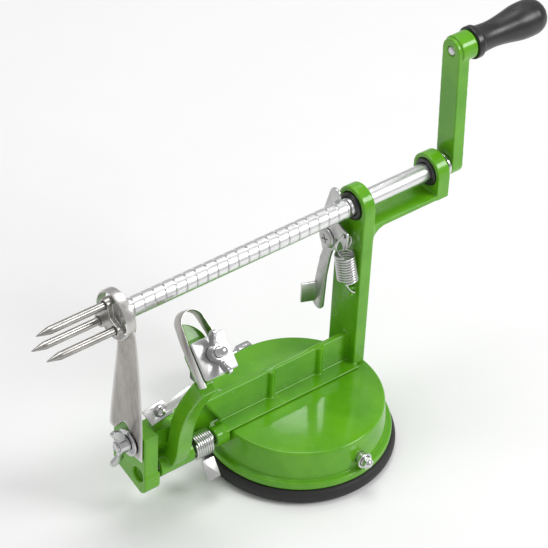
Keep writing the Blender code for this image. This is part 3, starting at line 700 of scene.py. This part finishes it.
def make_frame():
    """The enamelled casting: beam, column, bearing lugs, neck, front block and latch lugs."""
    bottom, top = 30.0, high_corner("frame_casting").z
    front = low_corner("frame_casting").x
    rear = high_corner("frame_casting").x
    column, radius, rear_radius = (37.0, 44.4), top - FEED[1], 10.2
    slab, ridge, foot, web = (118.7, 121.4), 49.1, 31.2, (5.9, 9.1)
    fillet = 8.0
    gusset = [(column[1] - 2.0, slab[1]), (rear - 1.0, slab[1]), (rear - 1.0, slab[0])]
    gusset += arc((column[1] + fillet, slab[0] - fillet), fillet, 90.0, 180.0, 16)
    gusset += [(column[1] - 2.0, slab[0] - fillet)]
    beam = [(-58.0, ridge), (-46.0, foot - 0.6), (-46.0, bottom), (column[0] + 2.0, bottom)]
    beam += [(column[0] + 2.0, ridge)]
    neck = [(-95.0, 21.0), (-53.0, 21.0), (-50.4, bottom), (-20.0, bottom), (-44.0, 46.5), (-95.0, 46.5)]
    block = [(23.0, 51.0), (20.0, 54.0), (-4.5, 54.0), (-4.5, 21.0)]
    block += arc((0.4, 20.9), 4.9, 190.0, 255.0, 10) + [(21.0, 22.0), (23.0, 24.0)]
    boss = [(7.4, 21.0), (7.4, 28.5), (-5.2, 28.5), (-5.2, 21.5)] + arc((0.3, 21.4), 5.5, 190.0, 262.0, 10)
    solids = [
        prism(lug(radius, bottom), "X", *column),
        prism(lug(rear_radius, slab[0] - 0.3), "X", rear - 7.8, rear),
        prism(gusset, "Y", FEED[0] - rear_radius + 0.01, FEED[0] + rear_radius - 0.01),
        prism(beam, "Y", *web),
        box((-50.0, -2.8, bottom), (column[0] + 2.0, web[0] + 1.0, foot)),
        *(rod("Z", (along, web[0] + 0.3), 2.1, foot - 0.5, ridge - 0.02, 24) for along in (-14.0, 17.8)),
        prism(neck, "Y", web[1] - 0.6, 14.0),
        prism(block, "X", front, front + 8.5),
        prism(boss, "X", front + 0.01, front + 9.4),
        box((-50.0, -2.7, 23.0), (-46.8, web[0] - 0.1, foot - 0.1)),
        rod("X", AXLE, 5.3, -55.0, -46.9, 40),
        rod("X", LATCH_PIVOT, 4.2, LATCH_PLATE[1] + GAP, column[0] + 1.0, 32),
        box((33.4, 2.6, 78.0), (column[0] + 1.0, 5.4, 83.6)),
        box((front + 8.1, 1.0, 40.0), (-80.0, 13.0, 50.4)),
    ]
    holes = [
        rod("X", AXLE, 7.6, -69.6, -56.0, 40),
        rod("X", AXLE, SHAFT_BORE, -60.0, -48.4, 32),
        rod("X", LATCH_PIVOT, 2.3, 20.0, column[0], 24),
        rod("Y", (35.3, 81.0), 0.95, 0.0, 8.0, 16),
        rod("X", AXLE, SHAFT_BORE, front - 8.0, front + 12.0, 32),
        rod("X", AXLE, 4.3, front - 8.0, front + 3.0, 32),
        rod("X", CORER, STUD_BORE, front - 8.0, front + 7.3, 24),
        moved(rod("Z", (0.0, 0.0), 2.0, -12.0, 12.0, 24), HOLD),
        rod("X", FEED, 7.8, column[0] - 1.0, column[1] + 1.0, 64),
        rod("X", FEED, 7.8, rear - 9.0, rear + 1.0, 64),
    ]
    holes += [rod("Z", line_of(screw, "Z"), 1.6, 20.0, 36.0, 20) for screw in FRAME_SCREWS]
    casting = soften(carve("frame_cast", solids, holes), 0.42, 7)
    finish_piece(casting, ENAMEL, "frame_casting", 80.0)

    for node in ("front_bush", "rear_bush"):
        low, high = low_corner(node).x, high_corner(node).x
        ring = washer("X", FEED, 5.35, high_corner(node).y - FEED[0], low, high, 0.5, 80)
        piece(node.replace("bush", "bushing"), ring, PLASTIC, node)


# ---------------------------------------------------------------- feed, fork and crank


def make_feed():
    """The grooved feed screw with its smooth shank, the thrust washer and the crank's screw."""
    low, high = low_corner("feed_screw").x, high_corner("feed_screw").x
    radius = (high_corner("feed_screw").z - low_corner("feed_screw").z) / 2.0
    length, pitch, depth = 140.5, 6.35, 0.7
    grooved = thread(low, length, FEED, radius, depth, pitch, 0.20, 64, 0.5)
    shank = bpy.data.meshes.new("screw_shank")
    rod("X", FEED, 4.95, low + length - 0.6, high, 64, 0.5).to_mesh(shank)
    grooved.from_mesh(shank)
    piece("screw_thread", grooved, SCREW, "feed_screw", 50.0)

    low, high = low_corner("crank_washer").x, high_corner("crank_washer").x
    piece("thrust_washer", washer("X", FEED, 5.25, 6.8, low, high, 0.3), PLATE, "crank_washer")
    low, high = low_corner("crank_screw").x, high_corner("crank_screw").x
    dome = [(low, 4.4)] + [(low + (high - low) * math.sin(a), 4.4 * math.cos(a) ** 0.6)
                           for a in (math.radians(d) for d in range(15, 88, 12))]
    recess = box((high - 0.8, FEED[0] - 5.0, FEED[1] - 0.5), (high + 2.0, FEED[0] + 5.0, FEED[1] + 0.5))
    finish_piece(carve("crank_bolt", [turned(dome, "X", FEED, 48)], [recess]), PLATE, "crank_screw")


def make_fork():
    """The cast hub with a lobe round each prong, and the prongs with ground points."""
    low, high = low_corner("fork_hub").x, high_corner("fork_hub").x
    names = ("upper_prong", "near_prong", "far_prong")
    solids = [turned([(low + 3.0, 9.4), (low + 5.2, 8.8), (low + 7.4, 7.2), (high, 6.3)], "X", FEED, 64)]
    centres = [line_of(name) for name in names]
    lobe_radius = 3.6
    for y, z in centres:
        angle = math.degrees(math.atan2(z - FEED[1], y - FEED[0]))
        lobe = arc((y, z), lobe_radius, angle - 90.0, angle + 90.0, 20)
        lobe += arc(FEED, lobe_radius, angle + 90.0, angle + 270.0, 20)
        solids.append(prism(lobe, "X", low, low + 5.0))
    holes = [rod("X", centre, 2.4, low - 2.0, low + 4.0, 32) for centre in centres]
    finish_piece(soften(carve("fork_casting", solids, holes), 0.22, 5), FORK, "fork_hub", 80.0)
    for name, centre in zip(names, centres):
        tip, root, radius = low_corner(name).x, high_corner(name).x, 2.1
        profile = [(tip, 0.12), (tip + 0.3, 0.25)]
        profile += [(tip + 0.3 + 7.4 * t / 6.0, 0.25 + (radius - 0.25) * (t / 6.0) ** 0.85)
                    for t in range(1, 7)]
        profile += [(tip + 9.0, radius), (tip + 24.0, radius), (root, radius)]
        piece(name.replace("prong", "tine"), turned(profile, "X", centre, 40), FORK, name, 50.0)


def make_crank():
    """The enamelled crank arm, the riveted spindle and the moulded handle."""
    low, high = low_corner("crank_arm").x, low_corner("crank_arm").x + 7.2
    far = high_corner("crank_arm").x
    half = 6.6
    lean = math.degrees(math.atan2(PIN[1] - FEED[1], PIN[0] - FEED[0])) - 90.0
    outline = arc(PIN, half, lean, lean + 180.0, 32) + arc(FEED, half, lean + 180.0, lean + 360.0, 32)
    solids = [prism(outline, "X", low, high), rod("X", PIN, 7.6, low + 2.2, far, 64)]
    holes = [rod("X", PIN, 2.8, low - 2.0, far + 3.0, 40)]
    finish_piece(soften(carve("crank_cast", solids, holes), 0.32, 7), ENAMEL, "crank_arm", 80.0)

    low, high = low_corner("handle_spindle").x, high_corner("handle_spindle").x
    profile = [(low + 0.02, 1.1), (low + 0.1, 1.8), (low + 0.4, 2.3), (low + 0.8, 2.5)]
    profile += [(high - 2.0, 2.5), (high - 2.0, 4.2), (high - 1.7, 4.4), (high - 0.6, 4.3), (high, 3.4)]
    piece("riveted_spindle", turned(profile, "X", PIN, 48), PLATE, "handle_spindle", 50.0)

    start, end = low_corner("crank_handle").x, high_corner("crank_handle").x
    length = end - start
    collar = arc((start + 0.7, 8.1), 0.7, 180.0, 90.0, 5) + arc((start + 3.2, 8.1), 0.7, 90.0, 20.0, 5)
    shape = [(start + 4.3, 7.75), (start + 9.0, 7.15), (start + 14.0, 7.0), (start + 19.0, 7.4),
             (start + 25.0, 8.3), (start + 31.0, 9.35), (start + 36.0, 9.74), (start + 40.5, 9.66)]
    tail = [(end - 9.0 + 9.0 * math.sin(a), 9.7 * math.cos(a) ** 0.62) for a in
            (math.radians(d) for d in range(8, 66, 6))]
    profile = collar + smooth(shape + tail, 4)
    profile += [(start + length - 0.1, 4.9)]
    grip = turned(profile, "X", PIN, 96)
    holes = [rod("X", PIN, 2.8, start - 2.0, end - 3.0, 40), rod("X", PIN, 4.7, 153.2, 156.3, 40)]
    finish_piece(carve("handle_grip", [grip], holes), PLASTIC, "crank_handle", 50.0)


# ---------------------------------------------------------------- thread latch


def make_latch():
    """The stamped latch plate with its thumb tab, the cross-head screw and the pull spring."""
    low, high = low_corner("latch_pivot_screw").x, high_corner("latch_pivot_screw").x
    clear = 5.43
    outline = arc((17.0, 137.2), 4.0, 20.0, 140.0, 12) + [(13.4, 138.0)]
    outline += arc(FEED, clear, 62.0, -62.0, 24)
    outline += [(14.0, 122.0), (11.4, 120.6), (9.0, 119.8)] + arc((7.0, 117.4), 1.8, 110.0, 180.0, 4)
    outline += arc((7.2, 110.0), 1.7, 185.0, 300.0, 5) + [(9.8, 111.0), (14.6, 111.0)]
    outline += arc(LATCH_PIVOT, 7.4, 200.0, 235.0, 8)
    outline += [(18.0, 95.0), (20.0, 82.0), (21.0, 62.0)] + arc((25.2, 60.6), 4.2, 190.0, 340.0, 16)
    outline += [(28.6, 72.0), (25.4, 92.0), (23.8, 97.0), (27.0, 105.0), (26.0, 120.0)]
    tab = [(LATCH_PLATE[1] - 0.2, 27.0), (LATCH_PLATE[1] - 0.2, 28.4), (24.0, 31.6), (23.8, 30.2)]
    holes = [rod("X", LATCH_PIVOT, 2.3, 20.0, 40.0, 32), rod("X", (7.6, 116.7), 1.35, 20.0, 40.0, 24)]
    stamped = carve("latch_stamping", [prism(outline, "X", *LATCH_PLATE), prism(tab, "Z", 59.5, 71.9)], holes)
    finish_piece(bevel(stamped, 0.22), STAMPED, "latch_plate", 50.0)

    profile = [(low, 3.6), (low + 0.25, 4.6), (low + 0.7, 5.4), (low + 1.3, 5.8)]
    profile += [(LATCH_PLATE[0] - GAP, 5.8), (LATCH_PLATE[0] - GAP, 2.0), (high - 0.4, 2.0), (high, 1.6)]
    across = Matrix.Translation((low, *LATCH_PIVOT)) @ Matrix.Rotation(math.radians(-90.0), 4, "Y")
    recess = cross_recess(across, 0.0, 2.6, 0.8, 0.9)
    screw = carve("latch_screw", [turned(profile, "X", LATCH_PIVOT, 48)], recess)
    finish_piece(screw, STAMPED, "latch_pivot_screw")

    top, bottom = Vector((30.8, 6.6, 105.5)), Vector((31.6, 3.6, 90.4))
    radius, turns, steps = 5.0, 10, 28
    down = (bottom - top).normalized()
    across = down.orthogonal().normalized()
    along = down.cross(across)
    coil = []
    for i in range(turns * steps + 1):
        angle = 2.0 * math.pi * i / steps
        coil.append(top + (bottom - top) * (i / (turns * steps))
                    + (across * math.cos(angle) + along * math.sin(angle)) * radius)
    eye = [Vector((30.6 + 5.0 * math.cos(a), 7.6, 112.0 + 4.9 * math.sin(a)))
           for a in (math.radians(d) for d in range(-60, 231, 10))]
    hook = smooth([coil[-1] + down * 1.2, (32.4, 1.6, 83.6), (34.6, 1.3, 81.6), (35.3, 2.6, 81.0),
                   (35.3, 4.6, 81.0)], 6)
    lead = smooth([eye[-1], (28.4, 8.4, 106.2), coil[0]], 5)[1:-1]
    piece("pull_spring", tube(eye + lead + coil + hook, 0.62, 14), WIRE, "latch_spring", 60.0)


# ---------------------------------------------------------------- corer and slicer


def strip_edge(z):
    """The corer strip's edges at height z: (x, y) of its near and far edges."""
    flat, ring_bottom, face = 44.0, 119.5, -102.9
    rise = max(0.0, (z - flat) / (ring_bottom - flat))
    near = (face - 4.4 * rise ** 2, -3.2 + 0.3 * rise)
    far = (face - 8.6 * rise ** 2, 24.6 - 18.0 * rise ** 1.6)
    if z > ring_bottom:
        over = (z - ring_bottom) / 10.0
        far = (far[0] + (near[0] - 1.5 - far[0]) * over, far[1] + (near[1] + 3.5 - far[1]) * over)
    return near, far


def make_corer():
    """The rolled coring ring on its ground slicing strip, its stud, washer and wing nut."""
    thickness, columns = 1.2, 10
    rings = []
    levels = [39.5 + 4.5 * i / 3.0 for i in range(3)] + [44.0 + 3.0 * i for i in range(26)]
    levels += [121.5, 124.0, 126.5, 129.0]
    for z in levels:
        (near_x, near_y), (far_x, far_y) = strip_edge(z)
        front, back = [], []
        for i in range(columns + 1):
            t = i / columns
            x, y = near_x + (far_x - near_x) * t, near_y + (far_y - near_y) * t
            half = thickness / 2.0 * min(1.0, 0.25 + 3.0 * t, 0.45 + 5.0 * (1.0 - t))
            front.append((x - half, y, z))
            back.append((x + half, y, z))
        rings.append(front + back[::-1])
    slot = [(40.0, 20.0), (40.0, 46.0), (20.0, 46.5), (14.5, 54.0)]
    slot += arc((10.6, 53.4), 3.4, 60.0, 150.0, 14)
    slot += smooth([(7.0, 53.6), (4.6, 50.0), (3.2, 46.0), (2.4, 38.0)], 5) + [(2.4, 20.0)]
    low, high, outer, wall = -112.4, -107.0, 13.4, 0.9
    inner = outer - wall
    profile = [(low, inner + 0.35), (low + 0.9, outer - 0.04), (high - 0.3, outer), (high, outer - 0.25)]
    profile += [(high, inner + 0.15), (high - 0.2, inner), (low + 0.2, inner)]
    bore = rod("X", FEED, inner, low - 2.0, high + 7.0, 96)
    blade = carve("slicer_strip", [loft(rings)], [prism(slot, "X", -115.0, -95.0), bore])
    blade = carve("slicer_strip", [blade, turned(profile, "X", FEED, 96, hollow=True)])
    finish_piece(blade, STEEL, "corer_blade", 30.0)

    low, high = low_corner("corer_stud").x, high_corner("corer_stud").x
    piece("corer_thread", stud_thread(low, high - low, CORER), PLATE, "corer_stud", 60.0)
    low, high = low_corner("corer_washer").x, high_corner("corer_washer").x
    piece("corer_flat_washer", washer("X", CORER, STUD_BORE, 7.6, low, high, 0.3), PLATE, "corer_washer")
    foot = high_corner("corer_wing_nut").x
    turn = Matrix.Translation((foot, *CORER)) @ Matrix.Rotation(math.radians(-90.0), 4, "Y")
    finish_piece(wing_nut("corer_nut_casting", turn), PLATE, "corer_wing_nut", 80.0)


def wing_nut(name, matrix, height=9.4, reach=11.6):
    """A cast wing nut: a tapered boss with two swept ears, in its own axes with its foot at Z 0."""
    core = turned([(0.0, 4.4), (1.2, 4.4), (5.5, 3.9)], "Z", (0.0, 0.0), 48)
    solids = [core]
    for side in (-1.0, 1.0):
        top = [(2.8, 0.7), (6.0, 1.2), (9.4, 3.0), (11.2, 5.4), (reach, 7.6), (10.6, height), (8.6, 8.8),
               (6.6, 6.4), (4.8, 5.2), (2.8, 5.0)]
        outline = [(side * u, v) for u, v in smooth(top, 4)]
        solids.append(prism(outline, "Y", -1.0, 1.0))
    nut = carve(name, solids, [rod("Z", (0.0, 0.0), STUD_BORE, -1.0, 8.0, 32)])
    soften(nut, 0.2, 4, 0.5)
    nut.data.transform(Matrix.Scale(MM, 4) @ matrix @ Matrix.Scale(1.0 / MM, 4))
    return nut


# ---------------------------------------------------------------- peeling arm


def make_arm():
    """The enamelled arm with its barrel and head, the axle, the torsion spring and its tab."""
    spine = [AXLE, (-3.0, 33.0), (-5.6, 41.0), (-6.6, 50.0), (-8.6, 60.0), (-13.0, 73.0), (-19.4, 86.0),
             (-25.0, 96.0)]
    spine = smooth(spine, 4)
    half = HEAD_HALF - 0.6
    leaf = [(-half, -3.0), (half, -3.0), (half, 12.0)] + arc((-half, 15.0), 14.2, 0.0, 72.0, 20)
    leaf += [(-5.6, 28.0), (-6.2, 20.0), (-half, 13.0)]
    solids = [prism(band(spine, 8.6), "X", -86.0, -77.0), rod("X", AXLE, 6.2, -91.0, -70.0, 48),
              moved(prism(leaf, "Z", -12.0, -8.6), HEAD),
              moved(box((-half + 0.4, -2.4, -9.1), (4.7, 17.7, -0.9)), HEAD)]
    holes = [rod("X", AXLE, SHAFT_BORE, -95.0, -65.0, 40),
             moved(rod("Z", STUD, STUD_BORE, -15.0, 2.0, 32), HEAD)]
    finish_piece(soften(carve("arm_cast", solids, holes), 0.32, 6), ENAMEL, "peel_arm", 80.0)

    low, high = low_corner("arm_axle").x, high_corner("arm_axle").x
    piece("arm_pin", rod("X", AXLE, 3.0, low, high, 48, 0.5), WIRE, "arm_axle")
    coil = helix("X", AXLE, 6.3, -68.3, -57.6, 8.0, 28, 130.0)
    piece("torsion_spring", tube(coil, 0.66, 14), WIRE, "arm_spring", 60.0)
    low, high = low_corner("spring_tab"), high_corner("spring_tab")
    outline = rounded_box(((low.x + high.x) / 2.0, 0.0), (high.x - low.x, 10.9), 0.7, 4)
    slope = math.atan2(8.8, 6.4)
    flat = prism(outline, "Z", -0.7, 0.7, 0.2, 2)
    centre = Vector((0.0, (low.y + high.y) / 2.0, (low.z + high.z) / 2.0))
    flat = moved(flat, Matrix.Translation(centre) @ Matrix.Rotation(slope, 4, "X"))
    piece("spring_plate", flat, STAMPED, "spring_tab")


def make_blade():
    """The looped peeling blade with a ground edge, its clamp plate, stud and wing nut."""
    side = HEAD_HALF
    loop = [(-side - 0.4, -4.0), (-side - 0.4, 10.0), (-side - 0.3, 20.0)]
    loop += arc((-2.8, 27.6), 6.6, 170.0, 20.0, 28)
    loop += [(4.4, 25.0), (5.3, 20.0), (5.9, 14.0), (5.9, 0.0)]
    rings = []
    for level, thick in ((-8.0, 0.55), (-7.8, 0.7), (-1.8, 0.7), (-0.6, 0.12)):
        rings.append([(u, v, level) for u, v in band(loop, thick)])
    piece("loop_blade", moved(loft(rings), HEAD), STEEL, "peeler_blade", 30.0)

    outline = rounded_box((0.15, 8.9), (2.0 * side + 0.3, 19.8), 1.0, 5)
    plate = carve("blade_clamp", [moved(prism(outline, "Z", -0.3, 1.2), HEAD)],
                  [moved(rod("Z", STUD, STUD_BORE, -5.0, 5.0, 32), HEAD)])
    finish_piece(bevel(plate, 0.3), STAMPED, "clamp_plate", 50.0)

    head = [(-15.4, 3.0), (-15.2, 4.0), (-14.4, 4.9), (-13.6, 5.2), (-12.3, 5.2), (-12.3, 2.45)]
    stud = turned(head + [(-2.0, 2.45)], "Z", STUD, 40)
    along = Matrix.Translation((*STUD, 0.0)) @ Matrix.Rotation(math.radians(-90.0), 4, "Y")
    threaded = moved(stud_thread(-3.0, 15.2, (0.0, 0.0)), along)
    bolt = carve("clamp_stud", [moved(stud, HEAD), moved(threaded, HEAD)])
    finish_piece(bolt, PLATE, "clamp_bolt", 60.0)
    turn = HEAD @ Matrix.Translation((*STUD, 1.5)) @ Matrix.Rotation(math.pi / 2.0, 4, "Z")
    finish_piece(wing_nut("clamp_nut_casting", turn), PLATE, "clamp_wing_nut", 80.0)


def make_hold_latch():
    """The hold-back latch plate, its cross-head screw and its small coil."""
    outline = [(-8.0, -4.5), (5.0, -4.5), (6.0, -3.0), (20.0, 0.8)] + arc((19.0, 2.2), 1.4, -30.0, 100.0, 6)
    outline += [(5.0, 1.8), (4.0, 4.5), (-8.0, 4.5)]
    plate = carve("hold_stamping", [moved(prism(outline, "Z", 1.0, 2.2), HOLD)],
                  [moved(rod("Z", (0.0, 0.0), 1.9, -5.0, 5.0, 32), HOLD)])
    finish_piece(bevel(plate, 0.2), STAMPED, "hold_latch", 50.0)
    profile = [(-8.0, 1.4), (-7.6, 1.6), (2.5, 1.6), (2.5, 3.1), (2.9, 3.2), (3.6, 3.0), (4.3, 2.3)]
    profile += [(4.6, 1.2)]
    screw = carve("hold_screw", [moved(turned(profile, "Z", (0.0, 0.0), 40), HOLD)],
                  cross_recess(HOLD, 4.6, 1.9, 0.6, 1.3))
    finish_piece(screw, PLATE, "hold_latch_screw")
    coil = helix("Z", (0.0, 0.0), 2.9, -3.6, 0.1, 3.0, 28)
    piece("hold_coil", moved(tube(coil, 0.5, 12), HOLD), WIRE, "hold_latch_spring", 60.0)


# ---------------------------------------------------------------- floor, light and camera


def make_floor():
    mesh = bpy.data.meshes.new("studio_floor")
    reach = 6.0
    mesh.from_pydata([(-reach, -reach, 0.0), (reach, -reach, 0.0), (reach, reach, 0.0), (-reach, reach, 0.0)],
                     [], [(0, 1, 2, 3)])
    floor = bpy.data.objects.new("studio_floor", mesh)
    bpy.context.scene.collection.objects.link(floor)
    floor.location.z = -0.0002
    material, shader = new_material("floor_paper", (0.93, 0.93, 0.93), 0.7, 0.0)
    grain = noise(material, 30.0)
    link(material, blend_colours(material, grain, (0.93, 0.93, 0.93), (0.96, 0.96, 0.96)),
         shader.inputs["Base Color"])
    shader.inputs["Specular IOR Level"].default_value = 0.2
    mesh.materials.append(material)


def make_light(name, spot, size, power):
    """A soft box aimed at the middle of the object."""
    light = bpy.data.lights.new(name, "AREA")
    light.shape = "RECTANGLE"
    light.size, light.size_y = size
    light.energy = power
    obj = bpy.data.objects.new(name, light)
    bpy.context.scene.collection.objects.link(obj)
    obj.location = spot
    aim = Vector((0.0, 0.0, 0.08)) - Vector(spot)
    obj.rotation_euler = aim.to_track_quat("-Z", "Y").to_euler()


def make_studio():
    make_floor()
    world = bpy.data.worlds.new("studio")
    bpy.context.scene.world = world
    world.use_nodes = True
    background = world.node_tree.nodes["Background"]
    background.inputs["Color"].default_value = (1.0, 1.0, 1.0, 1.0)
    background.inputs["Strength"].default_value = 0.50
    make_light("key_box", (0.75, -0.85, 0.95), (0.55, 0.45), 8.5)
    make_light("top_box", (0.15, 0.3, 1.3), (0.6, 0.6), 6.0)
    make_light("glint_box", (0.49, 0.55, 0.71), (0.09, 0.04), 0.10)
    bpy.context.scene.view_settings.view_transform = "Standard"


def make_camera():
    data = bpy.data.cameras.new("camera")
    data.sensor_width = 36.0
    data.lens = 197.08
    data.clip_start, data.clip_end = 0.05, 20.0
    camera = bpy.data.objects.new("camera", data)
    bpy.context.scene.collection.objects.link(camera)
    turn = Matrix(((0.78980, 0.36883, -0.49009), (-0.61192, 0.52864, -0.58829), (0.04210, 0.76453, 0.64322)))
    camera.matrix_world = Matrix.Translation((-0.75377, -0.87978, 1.08351)) @ turn.to_4x4()
    bpy.context.scene.camera = camera


make_base()
make_lever()
make_frame()
make_feed()
make_fork()
make_crank()
make_latch()
make_corer()
make_arm()
make_blade()
make_hold_latch()
make_studio()
make_camera()
